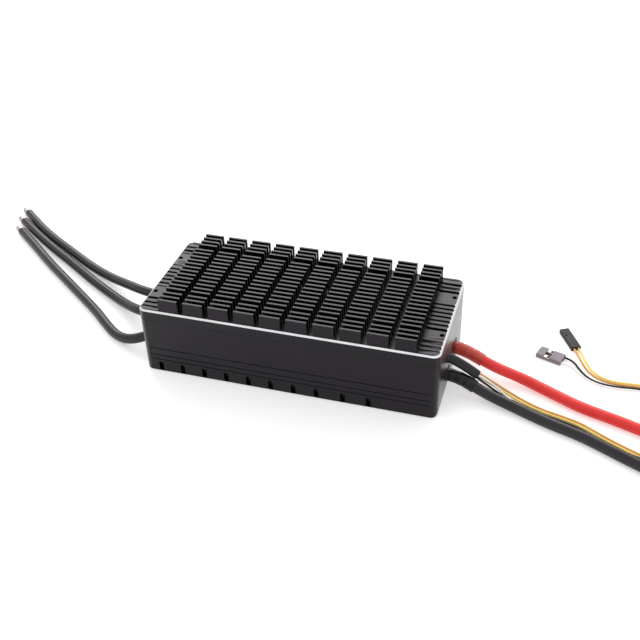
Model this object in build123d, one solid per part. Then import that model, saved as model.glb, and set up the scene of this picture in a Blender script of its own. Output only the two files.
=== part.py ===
from build123d import *
import math
import os

os.makedirs("parts", exist_ok=True)

# ---------------------------------------------------------------- driving dimensions (mm)
# The origin is the middle of the underside. +X points at the battery end,
# -X at the motor end, +Z is up.
body_length = 160.0
body_width = 69.6
corner_radius = 4.0
end_rounding = 3.0
case_height = 33.5
gasket_thickness = 0.4
plate_thickness = 5.7
fin_height = 7.2

floor_thickness = 5.0
end_wall = 6.0
side_wall = 3.4
screw_boss = 10.0

# fins: columns along X, rows across Y in three groups
column_count = 10
column_width = 10.8
column_pitch = 13.93
fin_thickness = 1.35
fin_pitch = 3.55
front_row = -33.1
front_rows = 3
middle_row = -21.8
middle_rows = 12
back_row = 33.1
back_rows = 4
ridge_height = 0.3
ridge_gap = 0.5
edge_chamfer = 0.8

# four tapped holes in the end flanges
hole_spacing_x = 154.8
hole_spacing_y = 33.6
hole_radius = 1.25
hole_depth_in_case = 8.0
pad_half_width = 5.0

# lines along the long sides, and upright pockets below them
side_line_heights = (8.1, 11.1, 15.4)
side_line_width = 0.5
side_line_depth = 0.25
side_line_length = 152.0
pocket_width = 2.6
pocket_depth = 2.4
pocket_bottom = 0.7
pocket_top = 6.4
pocket_centres = (-70.6, -58.1, -45.7, -33.2, -20.8, -8.4, 4.1, 16.6, 30.8, 44.4)

# cable entries: (y, z) on each end wall
motor_entries = {"a": (15.0, 12.0), "b": (-1.0, 11.0), "c": (-17.0, 9.5)}
red_entry = (12.0, 12.0)
black_entry = (-8.0, 9.0)
signal_entry = (-6.4, 19.2)
motor_lead_diameter = 5.6
power_lead_diameter = 5.8
signal_sleeve_diameter = 5.0
wire_diameter = 1.2
grommet_wall = 1.4
grommet_lip = 0.3
grommet_flare = 0.4

# inside
board_thickness = 1.6
power_board_z = 29.2
control_board_z = 14.9
bus_thickness = 1.5

half_length = body_length / 2
half_width = body_width / 2
inner_x = half_length - end_wall
inner_y = half_width - side_wall
plate_z = case_height + gasket_thickness
deck_z = plate_z + plate_thickness
fin_top = deck_z + fin_height
column_half = ((column_count - 1) * column_pitch + column_width) / 2
written = []


# ---------------------------------------------------------------- helpers
def block(x0, x1, y0, y1, z0, z1):
    """A plain box between two corners."""
    return Pos((x0 + x1) / 2, (y0 + y1) / 2, (z0 + z1) / 2) * Box(x1 - x0, y1 - y0, z1 - z0)


def rod(x0, x1, y, z, radius):
    """A round bar along X."""
    return Pos((x0 + x1) / 2, y, z) * Rot(0, 90, 0) * Cylinder(radius, abs(x1 - x0))


def post(x, y, z0, z1, radius):
    """A round bar along Z."""
    return Pos(x, y, (z0 + z1) / 2) * Cylinder(radius, z1 - z0)


def corners(x, y):
    return [(sx * x, sy * y) for sx in (-1, 1) for sy in (-1, 1)]


def save(name, shape):
    """Write one node: a single solid, or a group of separate solids."""
    solids = shape.solids() if not isinstance(shape, list) else [s for p in shape for s in p.solids()]
    node = solids[0] if len(solids) == 1 else Compound(children=list(solids))
    node.label = name
    export_step(node, f"parts/{name}.step")
    written.append(name)


def arc_radii(points):
    """Largest tangent arc for each corner: 0.45 of the shorter run over the tangent of half the turn."""
    radii = []
    for before, here, after in zip(points, points[1:], points[2:]):
        first, second = Vector(*here) - Vector(*before), Vector(*after) - Vector(*here)
        half_turn = math.radians(first.get_angle(second)) / 2
        radii.append(0.45 * min(first.length, second.length) / math.tan(half_turn))
    return radii


def tube(name, points, diameter, bore=0.0):
    """Sweep a round section along straight runs joined by tangent arcs."""
    radii = arc_radii(points)
    path = FilletPolyline(*points, radius=radii)
    start = Plane(path @ 0, z_dir=path % 0)
    section = start * Circle(diameter / 2)
    if bore:
        section = section - start * Circle(bore / 2)
    solid = sweep(section, path)
    area = math.pi * (diameter**2 - bore**2) / 4
    print(
        f"{name}: length {path.length:.1f}, tightest {min(radii):.1f} = {min(radii) / diameter:.1f} d,"
        f" volume / (section x length) {solid.volume / (area * path.length):.4f}"
    )
    save(name, solid)
    return path.length


# ---------------------------------------------------------------- rows of fins
front_group = [front_row + k * fin_pitch for k in range(front_rows)]
middle_group = [middle_row + k * fin_pitch for k in range(middle_rows)]
back_group = [back_row - k * fin_pitch for k in range(back_rows)]
rows = front_group + middle_group + back_group
pads = (-hole_spacing_y / 2, hole_spacing_y / 2)


def beside_hole(y):
    return any(abs(y - pad) < pad_half_width for pad in pads)


# ---------------------------------------------------------------- finned cover
def upper_heatsink():
    outline = RectangleRounded(body_length, body_width, corner_radius)
    plate = extrude(Pos(0, 0, plate_z) * outline, plate_thickness + ridge_height)
    plate = chamfer(plate.edges().group_by(Axis.Z)[-1], edge_chamfer + ridge_height)
    fins = []
    bite = 0.6
    past = 1.0
    for y in rows:
        for k in range(column_count):
            x0 = -column_half + k * column_pitch
            y0, y1 = y - fin_thickness / 2, y + fin_thickness / 2
            fins.append(block(x0, x0 + column_width, y0, y1, deck_z - bite, fin_top))
    # the top is milled down to the deck, leaving low ridges on the end flanges
    ridge_rows = sorted(y for y in rows if not beside_hole(y))
    starts = [-half_width - past] + [y + fin_thickness / 2 for y in ridge_rows]
    ends = [y - fin_thickness / 2 for y in ridge_rows] + [half_width + past]
    fin_zone = column_half + ridge_gap
    milled = [block(-fin_zone, fin_zone, starts[0], ends[-1], deck_z, fin_top)]
    for y0, y1 in zip(starts, ends):
        for side in (-1, 1):
            x0, x1 = sorted((side * (column_half - past), side * (half_length + past)))
            milled.append(block(x0, x1, y0, y1, deck_z, fin_top))
    cover = plate - milled + fins
    for x, y in corners(hole_spacing_x / 2, hole_spacing_y / 2):
        cover -= post(x, y, plate_z - 1, deck_z + 1, hole_radius)
    for x, y in corners(inner_x - screw_boss / 2, inner_y - screw_boss / 2):
        cover -= post(x, y, plate_z - 1, plate_z + 4.5, 1.5)
    save("upper_heatsink", cover)


# ---------------------------------------------------------------- lower case
def lower_case():
    case = extrude(RectangleRounded(body_length, body_width, corner_radius), case_height)
    case = chamfer(case.edges().group_by(Axis.Z)[0], 0.6)
    # the bottom is rounded towards both ends
    side_view = Rot(90, 0, 0) * RectangleRounded(body_length, 2 * case_height, end_rounding)
    case &= extrude(Pos(0, half_width + 1, case_height) * side_view, body_width + 2)
    case -= block(-inner_x, inner_x, -inner_y, inner_y, floor_thickness, case_height + 1)
    for x, y in corners(inner_x - screw_boss / 2, inner_y - screw_boss / 2):
        half = screw_boss / 2
        case += block(x - half, x + half, y - half, y + half, floor_thickness - 1, case_height)
    for x, y in corners(inner_x - screw_boss / 2, inner_y - screw_boss / 2):
        case -= post(x, y, -1, case_height + 1, 1.7)
        case -= post(x, y, -1, 3.4, 3.1)
    for x, y in corners(hole_spacing_x / 2, hole_spacing_y / 2):
        case -= post(x, y, case_height - hole_depth_in_case, case_height + 1, hole_radius)
    for side in (-1, 1):
        y0, y1 = sorted((side * (half_width - side_line_depth), side * (half_width + 1)))
        for z in side_line_heights:
            half = side_line_width / 2
            case -= block(-side_line_length / 2, side_line_length / 2, y0, y1, z - half, z + half)
        y0, y1 = sorted((side * (half_width - pocket_depth), side * (half_width + 1)))
        for x in pocket_centres:
            half = pocket_width / 2
            case -= block(x - half, x + half, y0, y1, pocket_bottom, pocket_top)
    for y, z in motor_entries.values():
        case -= rod(-half_length - 1, -inner_x + 1, y, z, motor_lead_diameter / 2 + grommet_wall)
    for y, z in (red_entry, black_entry):
        case -= rod(inner_x - 1, half_length + 1, y, z, power_lead_diameter / 2 + grommet_wall)
    case -= rod(inner_x - 1, half_length + 1, *signal_entry, signal_sleeve_diameter / 2 + 1.0)
    save("lower_case", case)


def lid_gasket():
    ring = extrude(
        Pos(0, 0, case_height) * RectangleRounded(body_length - 0.3, body_width - 0.3, corner_radius - 0.15),
        gasket_thickness,
    )
    ring -= block(-inner_x, inner_x, -inner_y, inner_y, case_height - 1, plate_z + 1)
    for x, y in corners(hole_spacing_x / 2, hole_spacing_y / 2):
        ring -= post(x, y, case_height - 1, plate_z + 1, hole_radius)
    save("lid_gasket", ring)


def case_screws():
    screws = []
    for x, y in corners(inner_x - screw_boss / 2, inner_y - screw_boss / 2):
        screw = post(x, y, 0.4, 3.4, 2.9) + post(x, y, 3.4, plate_z + 4.0, 1.5)
        socket = extrude(Pos(x, y, 0.4) * RegularPolygon(1.35, 6), 1.6)
        screws.append(screw - socket)
    save("case_screws", screws)


# ---------------------------------------------------------------- cable entries
def grommet(name, side, y, z, bore, wall):
    """A rubber bush through an end wall, with a lip outside."""
    inner, outer = side * inner_x, side * half_length
    lip = side * (half_length + grommet_lip)
    bush = rod(inner, outer, y, z, bore / 2 + wall) + rod(outer, lip, y, z, bore / 2 + wall + grommet_flare)
    save(name, bush - rod(inner - side, lip + side, y, z, bore / 2))


# ---------------------------------------------------------------- leads
motor_routes = {
    "a": [
        (-73, 15, 12), (-89, 15, 12), (-105.5, 18.4, 11.2), (-121, 27.3, 7.4), (-137, 36.2, 3.8),
        (-155, 45.6, 2.8), (-176, 58.4, 2.8), (-197, 71, 2.8), (-214, 83.2, 2.8), (-229, 95.5, 2.8),
    ],
    "b": [
        (-73, -1, 11), (-87, -1, 11), (-101, 2.2, 9), (-115, 11.6, 4.8), (-131, 22, 2.8),
        (-150, 33.4, 2.8), (-170, 46.8, 2.8), (-190, 59.2, 2.8), (-209, 72.2, 2.8), (-226, 84.8, 2.8),
    ],
    "c": [
        (-73, -17, 9.5), (-84, -17, 9.5), (-95.5, -19.6, 5), (-106.5, -16.2, 2.8), (-117, -8.2, 2.8),
        (-130, 3.2, 2.8), (-145, 14.4, 2.8), (-163, 27.8, 2.8), (-184, 43.4, 2.8), (-204, 59.6, 2.8),
        (-221, 73, 2.8),
    ],
}
red_route = [
    (73, 12, 12), (87.5, 12, 12), (102, 7, 7.6), (117, 4.2, 3.9), (133, -2.6, 2.9),
    (149, -10.4, 2.9), (166, -15.2, 2.9), (183, -21.2, 2.9), (198, -24, 2.9),
]
black_route = [
    (73, -8, 9), (88, -8, 9), (102.5, -13.8, 5), (118, -19.5, 3.1), (134, -26, 2.9),
    (151, -31.2, 2.9), (168, -39.5, 2.9), (185, -47.4, 2.9), (199.5, -51, 2.9),
]
signal_sleeve_route = [(74, -6.4, 19.2), (86.5, -6.4, 19.2), (96.9, -6.4, 11.4)]
orange_route = [
    (97.5, -5.5, 12.1), (103.9, -5.5, 7.3), (111.5, -5.6, 2.6), (120, -9.6, 0.6), (129.5, -14, 0.6),
    (140, -16.6, 0.6), (150.5, -19.8, 0.6), (161, -26.2, 0.6), (173.1, -32.2, 0.6), (184.6, -37.1, 0.6),
    (196, -40.2, 0.6), (208.5, -37.7, 0.6), (216.8, -28.4, 0.6), (219.9, -16, 0.6), (217.3, -3.6, 0.6),
    (209.5, 5.7, 0.6), (198.3, 11.8, 0.6), (186.2, 15, 0.6), (176, 16.7, 0.6), (165.5, 15.4, 0.6),
    (157, 16.9, 0.6), (150.8, 21.2, 0.6), (146.6, 28.2, 0.6), (143.5, 34.9, 1.3), (141.1, 39.4, 1.3),
]
yellow_route = [
    (96.4, -5.5, 10.7), (102.8, -5.5, 5.9), (110.5, -7.4, 1.9), (119, -11.2, 0.6), (128.8, -15.7, 0.6),
    (139.5, -18.3, 0.6), (149.8, -21.5, 0.6), (160.2, -27.8, 0.6), (172.4, -33.8, 0.6), (184.2, -38.8, 0.6),
    (196.1, -41.9, 0.6), (209.5, -39.1, 0.6), (218.3, -29.2, 0.6), (221.5, -16, 0.6), (218.8, -2.9, 0.6),
    (210.6, 7, 0.6), (199, 13.4, 0.6), (186.5, 16.7, 0.6), (176, 18.4, 0.6), (165.7, 17.1, 0.6),
    (157.8, 18.6, 0.6), (152.3, 22.8, 0.6), (148.6, 29.4, 0.6), (145.7, 36.1, 1.3), (143.3, 40.6, 1.3),
]
white_route = [
    (96.4, -7.3, 10.7), (102.8, -7.3, 5.9), (110, -9.4, 1.9), (118.3, -12.8, 0.6), (128.2, -17.3, 0.6),
    (139, -20, 0.6), (149.1, -23.1, 0.6), (159.4, -29.3, 0.6), (171.6, -35.4, 0.6), (181.3, -39.7, 1.4),
    (190.7, -41.2, 4.4), (201, -38.9, 4.4), (208.6, -31.7, 1.6), (213.7, -26, 0.6), (216.5, -16, 0.6),
    (214.2, -5.1, 0.6), (207.4, 3, 0.6), (197, 8.7, 0.6), (185.5, 11.8, 0.6), (176, 13.3, 0.6),
    (166, 11.7, 0.6), (156.5, 12, 0.6), (149.6, 14.9, 0.6), (144.6, 19.4, 0.6), (139.9, 24.1, 1.3),
    (135.4, 25.6, 1.3),
]
thin_black_route = [
    (97.5, -7.3, 12.1), (103.9, -7.3, 7.3), (111, -10.9, 2.8), (117.6, -14.5, 0.6), (127.5, -19, 0.6),
    (138.3, -21.7, 0.6), (148.4, -24.8, 0.6), (158.6, -30.9, 0.6), (170.8, -37, 0.6), (180.6, -41.4, 1.4),
    (191, -43, 4.4), (202.3, -40.3, 4.4), (210.4, -32.6, 1.6), (215.3, -26.6, 0.6), (218.2, -16, 0.6),
    (215.7, -4.4, 0.6), (208.5, 4.3, 0.6), (197.7, 10.3, 0.6), (185.8, 13.4, 0.6), (176, 15, 0.6),
    (165.8, 13.5, 0.6), (156.8, 13.9, 0.6), (150.3, 17, 0.6), (145.5, 22.9, 0.6), (141.5, 29, 1.3),
    (137, 30.5, 1.3),
]


def tinned_end(name, route, diameter, length):
    """The stripped, tinned strands past the insulation, slightly rounded at the tip."""
    tip = Vector(*route[-1])
    along = (tip - Vector(*route[-2])).normalized()
    plane = Plane(tip, z_dir=along)
    pin = extrude(plane * Circle(diameter / 2), length)
    far_face = pin.faces().sort_by(lambda face: (face.center() - tip).length)[-1]
    save(name, chamfer(far_face.edges(), 0.6))


def leads():
    for key, route in motor_routes.items():
        tube(f"motor_lead_{key}", route, motor_lead_diameter)
        tinned_end(f"motor_lead_tip_{key}", route, 5.0, 7.0)
    tube("red_power_lead", red_route, power_lead_diameter)
    tinned_end("red_lead_tip", red_route, 4.4, 8.0)
    tube("black_power_lead", black_route, power_lead_diameter)
    tinned_end("black_lead_tip", black_route, 4.4, 8.0)
    tube("signal_sleeve", signal_sleeve_route, signal_sleeve_diameter)
    tube("orange_signal_wire", orange_route, wire_diameter)
    tube("yellow_signal_wire", yellow_route, wire_diameter)
    tube("white_signal_wire", white_route, wire_diameter)
    tube("black_signal_wire", thin_black_route, wire_diameter)


def lead_sleeve(name, route, reach):
    """Heat-shrink over the root of a power lead, a hair clear of the insulation."""
    first, bend, third = (Vector(*p) for p in route[:3])
    end = bend + (third - bend).normalized() * reach
    start = Vector(half_length + grommet_lip, first.Y, first.Z)
    radius = arc_radii(route[:3])[0]
    path = FilletPolyline(start, bend, end, radius=radius)
    plane = Plane(path @ 0, z_dir=path % 0)
    ring = plane * Circle(power_lead_diameter / 2 + 0.6) - plane * Circle(power_lead_diameter / 2 + 0.08)
    save(name, sweep(ring, path))


# ---------------------------------------------------------------- plugs
plug_thickness = 2.6
plug_floor = 0.0
pin_pitch = 2.54


def plug(name, contacts_name, end, axis_angle, length, ways, wired, band=None, peephole=None):
    """A slim crimp housing lying flat. end is the middle of its wire end and axis_angle is its heading."""
    width = ways * pin_pitch + 0.3
    body = block(0, length, -width / 2, width / 2, 0, plug_thickness)
    body = chamfer(body.edges().filter_by(Axis.X), 0.25)
    contacts = []
    for k in range(ways):
        y = (k - (ways - 1) / 2) * pin_pitch
        middle = plug_thickness / 2
        body -= block(-1, length + 1, y - 0.85, y + 0.85, middle - 0.85, middle + 0.85)
        if k in wired:
            contact = block(length * 0.2, length - 0.8, y - 0.75, y + 0.75, 0.6, 2.0)
            contact -= block(length * 0.6, length, y - 0.4, y + 0.4, 0.9, 1.7)
            contact -= block(0, length * 0.58, y - 1, y + 1, 1.2, 2.1)
            contacts.append(contact)
    if band:
        body -= block(length * band[0], length * band[1], -width, width, 1.9, plug_thickness + 1)
    if peephole:
        y = (peephole - (ways - 1) / 2) * pin_pitch
        body -= block(length * 0.62, length * 0.67, y - 0.45, y + 0.45, middle, plug_thickness + 1)
    place = Pos(end[0], end[1], plug_floor) * Rot(0, 0, axis_angle)
    save(name, place * body)
    save(contacts_name, [place * c for c in contacts])


# ---------------------------------------------------------------- inside
def power_stage():
    board_top = power_board_z + board_thickness
    half_x, half_y = 67.0, 21.0
    fixings = [(-61.0, -19.0), (-61.0, 19.0), (58.0, -19.0), (58.0, 19.0)]
    board = block(-half_x, half_x, -half_y, half_y, power_board_z, board_top)
    for x, y in fixings:
        board -= post(x, y, power_board_z - 1, board_top + 1, 1.25)
    save("power_board", board)

    transistors = [
        block(x - 5, x + 5, y - 4, y + 4, board_top, plate_z - 0.8)
        for x in (-48, -28.8, -9.6, 9.6, 28.8, 48)
        for y in (-13.5, -4.5, 4.5, 13.5)
    ]
    save("mosfets", transistors)
    save("thermal_pad", block(-54, 54, -18.5, 18.5, plate_z - 0.8, plate_z))

    bus_z = power_board_z - bus_thickness
    save("capacitors", [post(x, y, bus_z - 20, bus_z, 8) for x in (-46, -28.5, -11) for y in (-10.5, 10.5)])
    drivers = [block(x - 2.5, x + 2.5, -2, 2, bus_z, power_board_z) for x in (-48, -38, -28, 32, 42, 52)]
    save("gate_drivers", drivers)
    save("current_shunts", [block(0, 8, s - 3, s + 3, power_board_z - 1, power_board_z) for s in (-4, 4)])

    positive = block(64.5, 66, 8, 14, 8.5, power_board_z) + block(-40, 66, 8, 14, bus_z, power_board_z)
    save("positive_bus_bar", positive + rod(66, 73, *red_entry, 2.2))
    negative = block(64.5, 66, -16, -5.5, 6.2, 12.6) + block(64.5, 66, -16, -10, 12.6, power_board_z)
    negative += block(-40, 66, -16, -10, bus_z, power_board_z)
    save("negative_bus_bar", negative + rod(66, 73, *black_entry, 2.2))
    for key, (y, z) in motor_entries.items():
        bar = block(-66, -64.5, y - 4, y + 4, z - 3.5, power_board_z)
        save(f"phase_bar_{key}", bar + rod(-73, -66, y, z, 2.2))

    posts = [post(x, y, floor_thickness, power_board_z, 2.6) - post(x, y, 19, 30, 1.0) for x, y in fixings]
    save("power_board_posts", posts)
    heads = [post(x, y, board_top, board_top + 1.8, 2.2) for x, y in fixings]
    shanks = [post(x, y, board_top - 7, board_top, 1.0) for x, y in fixings]
    save("power_board_screws", [head + shank for head, shank in zip(heads, shanks)])


def control_stage():
    top = control_board_z + board_thickness
    board = block(6, 63, -13, 7, control_board_z, top)
    fixings = [(10.0, -9.5), (10.0, 3.5), (52.0, -9.5), (52.0, 3.5)]
    for x, y in fixings:
        board -= post(x, y, control_board_z - 1, top + 1, 1.25)
    save("control_board", board)
    posts = [post(x, y, floor_thickness, control_board_z, 2.4) - post(x, y, 9, 16, 1.0) for x, y in fixings]
    save("control_board_posts", posts)
    save(
        "control_board_screws",
        [post(x, y, top, top + 1.6, 1.9) + post(x, y, top - 5, top, 1.0) for x, y in fixings],
    )
    save("microcontroller", block(26, 33, -7, 0, top, top + 1.0))
    choke = post(43, -3, top, top + 5, 4.5) - post(43, -3, top - 1, top + 6, 1.6)
    save("regulator_choke", choke)
    header = block(14, 34, 2.2, 4.8, top, top + 2.5)
    pins = [15.3 + pin_pitch * k for k in range(8)]
    header += [block(x - 0.32, x + 0.32, 3.18, 3.82, top + 2.5, power_board_z) for x in pins]
    save("board_header", header)
    save("signal_header", block(57, 64, -11, -3, top, top + 5))
    y, z = signal_entry
    save("signal_harness", [rod(64, 74, y + a, z + b, 0.75) for a in (-0.9, 0.9) for b in (-0.9, 0.9)])


# ---------------------------------------------------------------- write every node
upper_heatsink()
lower_case()
lid_gasket()
case_screws()
for key, (y, z) in motor_entries.items():
    grommet(f"motor_grommet_{key}", -1, y, z, motor_lead_diameter, grommet_wall)
grommet("red_lead_grommet", 1, *red_entry, power_lead_diameter, grommet_wall)
grommet("black_lead_grommet", 1, *black_entry, power_lead_diameter, grommet_wall)
grommet("signal_grommet", 1, *signal_entry, signal_sleeve_diameter, 1.0)
leads()
lead_sleeve("red_lead_sleeve", red_route, 9.0)
lead_sleeve("black_lead_sleeve", black_route, 8.0)
grey_angle = math.degrees(math.atan2(1, -3))
black_angle = math.degrees(math.atan2(15, -8))
plug("grey_plug", "grey_plug_contacts", (136.2, 28.05), grey_angle, 14.0, 3, (0, 2), band=(0.46, 0.7))
plug("black_plug", "black_plug_contacts", (142.2, 40.0), black_angle, 17.0, 2, (0, 1), peephole=1)
power_stage()
control_stage()
print(len(written), "nodes")
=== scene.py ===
import bpy
import bmesh
import math
from mathutils import Matrix, Vector


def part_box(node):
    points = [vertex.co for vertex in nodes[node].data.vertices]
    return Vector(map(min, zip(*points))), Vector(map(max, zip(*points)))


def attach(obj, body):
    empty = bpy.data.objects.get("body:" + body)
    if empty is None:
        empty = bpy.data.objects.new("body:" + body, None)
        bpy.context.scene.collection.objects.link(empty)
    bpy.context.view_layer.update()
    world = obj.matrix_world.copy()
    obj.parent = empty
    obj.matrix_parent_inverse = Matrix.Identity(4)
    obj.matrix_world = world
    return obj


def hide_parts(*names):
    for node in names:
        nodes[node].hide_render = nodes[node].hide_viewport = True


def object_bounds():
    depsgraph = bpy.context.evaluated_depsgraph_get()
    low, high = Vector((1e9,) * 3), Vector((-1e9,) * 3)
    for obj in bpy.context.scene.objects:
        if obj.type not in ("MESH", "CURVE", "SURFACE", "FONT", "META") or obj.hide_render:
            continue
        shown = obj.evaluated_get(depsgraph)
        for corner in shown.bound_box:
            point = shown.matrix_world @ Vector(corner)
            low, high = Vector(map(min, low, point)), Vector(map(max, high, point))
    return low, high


# A finned motor speed controller with its leads. Lengths are in metres, angles in degrees.
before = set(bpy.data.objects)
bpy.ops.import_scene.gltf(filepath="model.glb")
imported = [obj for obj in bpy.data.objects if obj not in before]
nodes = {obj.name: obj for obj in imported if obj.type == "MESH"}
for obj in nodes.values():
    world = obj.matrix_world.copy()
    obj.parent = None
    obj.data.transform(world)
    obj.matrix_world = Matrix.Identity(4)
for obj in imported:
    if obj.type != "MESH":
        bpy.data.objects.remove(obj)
cadLow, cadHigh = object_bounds()
scene = bpy.context.scene

# the camera looks down over the near long side, a little from the battery end
camera = {
    "place": (0.1378, -0.3950, 0.3299), "azimuth": 18.09, "elevation": 36.33, "roll": -2.01,
    "lens": 54.27, "sensor": 36, "nearest": 0.01,
}


def placeCamera():
    data = bpy.data.cameras.new("camera")
    data.sensor_width = camera["sensor"]
    data.lens = camera["lens"]
    data.clip_start = camera["nearest"]
    azimuth, elevation = math.radians(camera["azimuth"]), math.radians(camera["elevation"])
    flat = math.cos(elevation)
    forward = Vector((-math.sin(azimuth) * flat, math.cos(azimuth) * flat, -math.sin(elevation)))
    turn = (-forward).to_track_quat("Z", "Y").to_matrix().to_4x4()
    roll = Matrix.Rotation(math.radians(camera["roll"]), 4, "Z")
    thing = bpy.data.objects.new("camera", data)
    thing.matrix_world = Matrix.Translation(camera["place"]) @ turn @ roll
    scene.collection.objects.link(thing)
    scene.camera = thing


placeCamera()
print("camera placed")


# finishes: one entry per material, grouped by how they are made
def newGroup(name, takes, gives):
    group = bpy.data.node_groups.new(name, "ShaderNodeTree")
    for label, kind, value in takes:
        group.interface.new_socket(label, in_out="INPUT", socket_type=kind).default_value = value
    for label, kind in gives:
        group.interface.new_socket(label, in_out="OUTPUT", socket_type=kind)
    return group, group.nodes.new("NodeGroupInput"), group.nodes.new("NodeGroupOutput")


grainNoise = {"detail": 3, "roughness": 0.6}
toneNoise = {
    "detail": 4, "roughness": 0.55, "lowest": 0.36, "highest": 0.64, "wearScale": 700, "wearDetail": 2,
}


def makeGrainGroup():
    # fine surface unevenness for a Bump node; Stretch squeezes it along an axis for drawn or milled metal
    group, takes, gives = newGroup(
        "fineGrain",
        [("Size", "NodeSocketFloat", 900.0), ("Stretch", "NodeSocketVector", (1, 1, 1))],
        [("Height", "NodeSocketFloat")],
    )
    coords = group.nodes.new("ShaderNodeTexCoord")
    stretch = group.nodes.new("ShaderNodeVectorMath")
    stretch.operation = "MULTIPLY"
    noise = group.nodes.new("ShaderNodeTexNoise")
    noise.inputs["Detail"].default_value = grainNoise["detail"]
    noise.inputs["Roughness"].default_value = grainNoise["roughness"]
    link = group.links.new
    link(coords.outputs["Object"], stretch.inputs[0])
    link(takes.outputs["Stretch"], stretch.inputs[1])
    link(stretch.outputs["Vector"], noise.inputs["Vector"])
    link(takes.outputs["Size"], noise.inputs["Scale"])
    link(noise.outputs["Fac"], gives.inputs["Height"])
    return group


def makeToneGroup():
    # slow changes of colour and gloss from handling, and a rubbed look on faces marked as edges
    group, takes, gives = newGroup(
        "toneAndWear",
        [
            ("Size", "NodeSocketFloat", 60.0),
            ("Base", "NodeSocketColor", (0.5, 0.5, 0.5, 1)),
            ("Patches", "NodeSocketColor", (0.4, 0.4, 0.4, 1)),
            ("Rubbed", "NodeSocketColor", (0.6, 0.6, 0.6, 1)),
            ("Rubbing", "NodeSocketFloat", 0.0),
            ("Smoothest", "NodeSocketFloat", 0.3),
            ("Roughest", "NodeSocketFloat", 0.5),
        ],
        [("Color", "NodeSocketColor"), ("Roughness", "NodeSocketFloat")],
    )
    coords = group.nodes.new("ShaderNodeTexCoord")
    slow = group.nodes.new("ShaderNodeTexNoise")
    slow.inputs["Detail"].default_value = toneNoise["detail"]
    slow.inputs["Roughness"].default_value = toneNoise["roughness"]
    quick = group.nodes.new("ShaderNodeTexNoise")
    quick.inputs["Scale"].default_value = toneNoise["wearScale"]
    quick.inputs["Detail"].default_value = toneNoise["wearDetail"]
    spread = group.nodes.new("ShaderNodeMapRange")
    spread.inputs["From Min"].default_value = toneNoise["lowest"]
    spread.inputs["From Max"].default_value = toneNoise["highest"]
    patches = group.nodes.new("ShaderNodeMix")
    patches.data_type = "RGBA"
    edge = group.nodes.new("ShaderNodeAttribute")
    edge.attribute_name = "edge"
    broken = group.nodes.new("ShaderNodeMath")
    broken.operation = "MULTIPLY"
    amount = group.nodes.new("ShaderNodeMath")
    amount.operation = "MULTIPLY"
    rubbed = group.nodes.new("ShaderNodeMix")
    rubbed.data_type = "RGBA"
    gloss = group.nodes.new("ShaderNodeMix")
    link = group.links.new
    link(coords.outputs["Object"], slow.inputs["Vector"])
    link(coords.outputs["Object"], quick.inputs["Vector"])
    link(takes.outputs["Size"], slow.inputs["Scale"])
    link(slow.outputs["Fac"], spread.inputs["Value"])
    link(spread.outputs["Result"], patches.inputs["Factor"])
    link(takes.outputs["Base"], patches.inputs["A"])
    link(takes.outputs["Patches"], patches.inputs["B"])
    link(edge.outputs["Fac"], broken.inputs[0])
    link(quick.outputs["Fac"], broken.inputs[1])
    link(broken.outputs["Value"], amount.inputs[0])
    link(takes.outputs["Rubbing"], amount.inputs[1])
    link(amount.outputs["Value"], rubbed.inputs["Factor"])
    link(patches.outputs["Result"], rubbed.inputs["A"])
    link(takes.outputs["Rubbed"], rubbed.inputs["B"])
    link(spread.outputs["Result"], gloss.inputs["Factor"])
    link(takes.outputs["Smoothest"], gloss.inputs["A"])
    link(takes.outputs["Roughest"], gloss.inputs["B"])
    link(rubbed.outputs["Result"], gives.inputs["Color"])
    link(gloss.outputs["Result"], gives.inputs["Roughness"])
    return group


grainGroup = makeGrainGroup()
toneGroup = makeToneGroup()


def makeFinish(name, look):
    material = bpy.data.materials.new(name)
    material.use_nodes = True
    tree = material.node_tree
    shader = tree.nodes["Principled BSDF"]
    for socket, value in look.get("shader", {}).items():
        shader.inputs[socket].default_value = value
    tone = tree.nodes.new("ShaderNodeGroup")
    tone.node_tree = toneGroup
    tone.inputs["Size"].default_value = look.get("patchSize", 60)
    tone.inputs["Base"].default_value = (*look["base"], 1)
    tone.inputs["Patches"].default_value = (*look["patches"], 1)
    tone.inputs["Rubbed"].default_value = (*look.get("rubbed", look["base"]), 1)
    tone.inputs["Rubbing"].default_value = look.get("rubbing", 0)
    tone.inputs["Smoothest"].default_value = look["gloss"][0]
    tone.inputs["Roughest"].default_value = look["gloss"][1]
    tree.links.new(tone.outputs["Color"], shader.inputs["Base Color"])
    tree.links.new(tone.outputs["Roughness"], shader.inputs["Roughness"])
    grain = tree.nodes.new("ShaderNodeGroup")
    grain.node_tree = grainGroup
    grain.inputs["Size"].default_value = look["grain"][0]
    grain.inputs["Stretch"].default_value = look.get("stretch", (1, 1, 1))
    bump = tree.nodes.new("ShaderNodeBump")
    bump.inputs["Strength"].default_value = 1
    bump.inputs["Distance"].default_value = look["grain"][1]
    tree.links.new(grain.outputs["Height"], bump.inputs["Height"])
    tree.links.new(bump.outputs["Normal"], shader.inputs["Normal"])
    return material


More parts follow.
